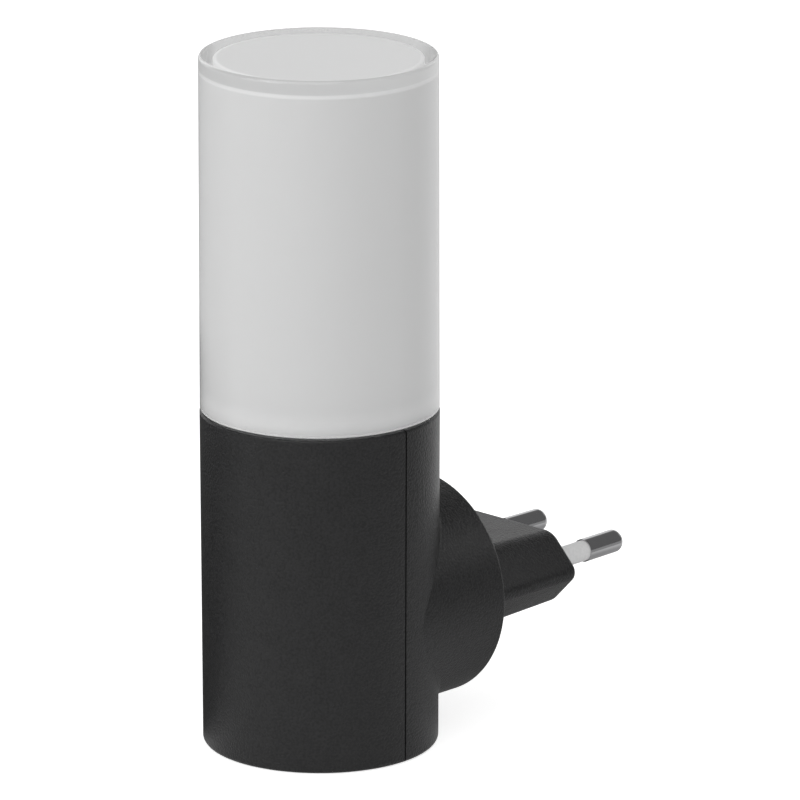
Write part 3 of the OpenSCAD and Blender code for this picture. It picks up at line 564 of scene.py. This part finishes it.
def flat_at(height):
    """Picks a level face at a height."""
    near = 0.001 * mm
    pick("FACE", lambda face: all(abs(v.co.z - height) < near for v in face.verts))


def ring_at(height, radius):
    """Picks the round edge at a height and a distance from the axis."""
    near = 0.01 * mm
    pick("EDGE", lambda edge: all(
        abs(v.co.z - height) < near and abs(from_axis(v) - radius) < near for v in edge.verts))


def extrude_up(rise):
    """Pulls what is picked up by a rise, or down where it is negative."""
    bpy.ops.mesh.extrude_region_move(TRANSFORM_OT_translate={"value": (0, 0, rise)})


def widen(factor, height):
    """Scales what is picked about the body's axis."""
    bpy.ops.transform.resize(value=(factor, factor, 1), center_override=(0, body_y, height))


def round_edge(radius):
    """Rounds the picked edges."""
    bpy.ops.mesh.bevel(offset=radius, segments=edge_steps, profile=0.5, affect="EDGES")


def cut_away(piece, low, high):
    """Cuts a box, from its low to its high corner, out of the piece in edit mode."""
    bpy.ops.object.mode_set(mode="OBJECT")
    bpy.ops.object.select_all(action="DESELECT")
    bpy.ops.mesh.primitive_cube_add(size=1, location=(low + high) / 2, scale=high - low)
    cutter = bpy.context.object
    bpy.context.view_layer.objects.active = piece
    cut = piece.modifiers.new("cut", "BOOLEAN")
    cut.object = cutter
    bpy.ops.object.modifier_apply(modifier="cut")
    bpy.data.objects.remove(cutter)
    piece.select_set(True)
    bpy.ops.object.mode_set(mode="EDIT")


def finish_piece(piece, body, slot, *stands_for):
    """Leaves edit mode, shades the piece, and joins it to the frame."""
    bpy.ops.mesh.select_all(action="SELECT")
    bpy.ops.mesh.normals_make_consistent(inside=False)
    bpy.ops.object.mode_set(mode="OBJECT")
    bpy.ops.object.shade_smooth_by_angle(angle=math.radians(30))
    piece.modifiers.new("even", "WEIGHTED_NORMAL").keep_sharp = True
    bpy.ops.object.modifier_apply(modifier="even")
    piece.data.materials.append(finishes[slot])
    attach(piece, body)
    if stands_for:
        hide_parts(*stands_for)
    print(piece.name, "-", len(piece.data.polygons), "faces")


print("round shapes have", round_steps, "steps")

# %% [markdown]
# ## Clear cup
# The outer cup is moulded in clear acrylic with a thick wall and a closed top. Below
# the shells' rim it steps in to a neck, and the neck ends in a flange that the half
# shells grip. A notch in the flange's front takes the key that stops the cup turning.
# The cup could be spun from a profile, but a cylinder that is inset and extruded shows
# better how the steps follow from each other. An extrusion by nothing, then a scale,
# makes the step from the neck out to the flange. The notch is cut last, with a box
# that starts a little below the foot.

# %% Model the clear cup
cup_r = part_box("outer_cup")[1].x
cup_top_r = 19.8 * mm
cup_wall = 2.6 * mm
cup_top_t = 2.8 * mm
cup_edge = 0.65 * mm
neck_r = 18.5 * mm
flange_r = 19 * mm
flange_h = 2.3 * mm
rim_gap = 0.5 * mm
shoulder_z = rim_z + rim_gap
cup_inner_r = cup_r - cup_wall
cup_inner_z = top_z - cup_top_t
inner_edge = 0.78 * mm
notch_w = 3.2 * mm
notch_r = 18.1 * mm
notch_spare = 1 * mm


def make_clear_cup():
    cup = start_cylinder("clear_cup", cup_r, shoulder_z, top_z)
    flat_at(top_z)
    widen(cup_top_r / cup_r, top_z)
    ring_at(top_z, cup_top_r)
    round_edge(cup_edge)
    flat_at(shoulder_z)
    bpy.ops.mesh.inset(thickness=cup_r - neck_r)
    extrude_up(foot_z + flange_h - shoulder_z)
    extrude_up(0)
    widen(flange_r / neck_r, foot_z + flange_h)
    extrude_up(-flange_h)
    bpy.ops.mesh.inset(thickness=flange_r - cup_inner_r)
    extrude_up(cup_inner_z - foot_z)
    ring_at(cup_inner_z, cup_inner_r)
    round_edge(inner_edge)
    notch_low = Vector((-notch_w / 2, body_y - cup_r, foot_z - notch_spare))
    notch_high = Vector((notch_w / 2, body_y - notch_r, foot_z + flange_h))
    cut_away(cup, notch_low, notch_high)
    finish_piece(cup, "lamp", "clear_acrylic", "outer_cup")


make_clear_cup()

# %% [markdown]
# ## Opal cup
# Inside the clear cup stands a thinner opal one that spreads the light. On the finished
# lamp the two look like one block, and light crosses from one to the other without a
# reflection. Their solids keep a thin gap, as parts that slide together have. This
# model closes it: the opal cup's skin stands a hair's breadth into the clear one.

# %% Model the opal cup
contact = 0.02 * mm
opal_r = cup_inner_r + contact
opal_wall = 1.4 * mm
opal_edge = inner_edge + contact
opal_top_z = cup_inner_z + contact


def make_opal_cup():
    cup = start_cylinder("opal_diffuser", opal_r, foot_z, opal_top_z)
    ring_at(opal_top_z, opal_r)
    round_edge(opal_edge)
    flat_at(foot_z)
    bpy.ops.mesh.inset(thickness=opal_wall)
    extrude_up(opal_top_z - opal_wall - foot_z)
    finish_piece(cup, "lamp", "opal_acrylic", "opal_cup")


make_opal_cup()

# %% [markdown]
# ## The blend round the boss
# Where the round boss leaves the round body, the mould has a small radius, which
# catches a thin line of light. No operator rounds the crease between two surfaces of
# a mesh that stays as it is, so the blend is a ring of its own. A ball that rolls
# along the crease touches both surfaces, and the arc between its two contacts is one
# section of the ring. Each section closes in a root, a little deeper in the wall than
# the crease.

# %% Model the boss blend
base_r = 19.8 * mm
body_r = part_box("front_shell")[1].x
boss_r = 19.3 * mm
boss_z = -0.3 * mm
blend_r = 1 * mm
root_reach = 1.15


def blend_section(turn, arc_steps):
    """One section of the ring: the ball's arc from the boss to the body, then the root."""
    out = Vector((math.cos(turn), 0, math.sin(turn)))
    height = boss_z + (boss_r + blend_r) * out.z
    wall_r = base_r + (body_r - base_r) * (height - base_z) / (rim_z - base_z)
    x = (boss_r + blend_r) * out.x
    y = math.sqrt((wall_r + blend_r) ** 2 - x**2)
    ball = Vector((x, body_y + y, height))
    back = Vector((x, y, 0)).normalized()
    spread = out.angle(back)
    arc = []
    for step in range(arc_steps + 1):
        share = step / arc_steps
        lean = (out * math.sin((1 - share) * spread) + back * math.sin(share * spread)) / math.sin(spread)
        arc.append(ball - blend_r * lean)
    root = ball - blend_r * root_reach * (out + back) / (1 + out.dot(back))
    return arc + [root]


def make_boss_blend():
    arc_steps = 6
    sections = [blend_section(2 * math.pi * i / round_steps, arc_steps) for i in range(round_steps)]
    across = arc_steps + 2
    corners = [point for section in sections for point in section]
    faces = []
    for i in range(round_steps):
        here = i * across
        there = (i + 1) % round_steps * across
        for k in range(across):
            beside = (k + 1) % across
            faces.append((here + k, here + beside, there + beside, there + k))
    mesh = bpy.data.meshes.new("boss_blend")
    mesh.from_pydata(corners, [], faces)
    blend = bpy.data.objects.new("boss_blend", mesh)
    bpy.context.scene.collection.objects.link(blend)
    bpy.ops.object.select_all(action="DESELECT")
    blend.select_set(True)
    bpy.context.view_layer.objects.active = blend
    bpy.ops.object.mode_set(mode="EDIT")
    finish_piece(blend, "lamp", "dark_shell")


make_boss_blend()
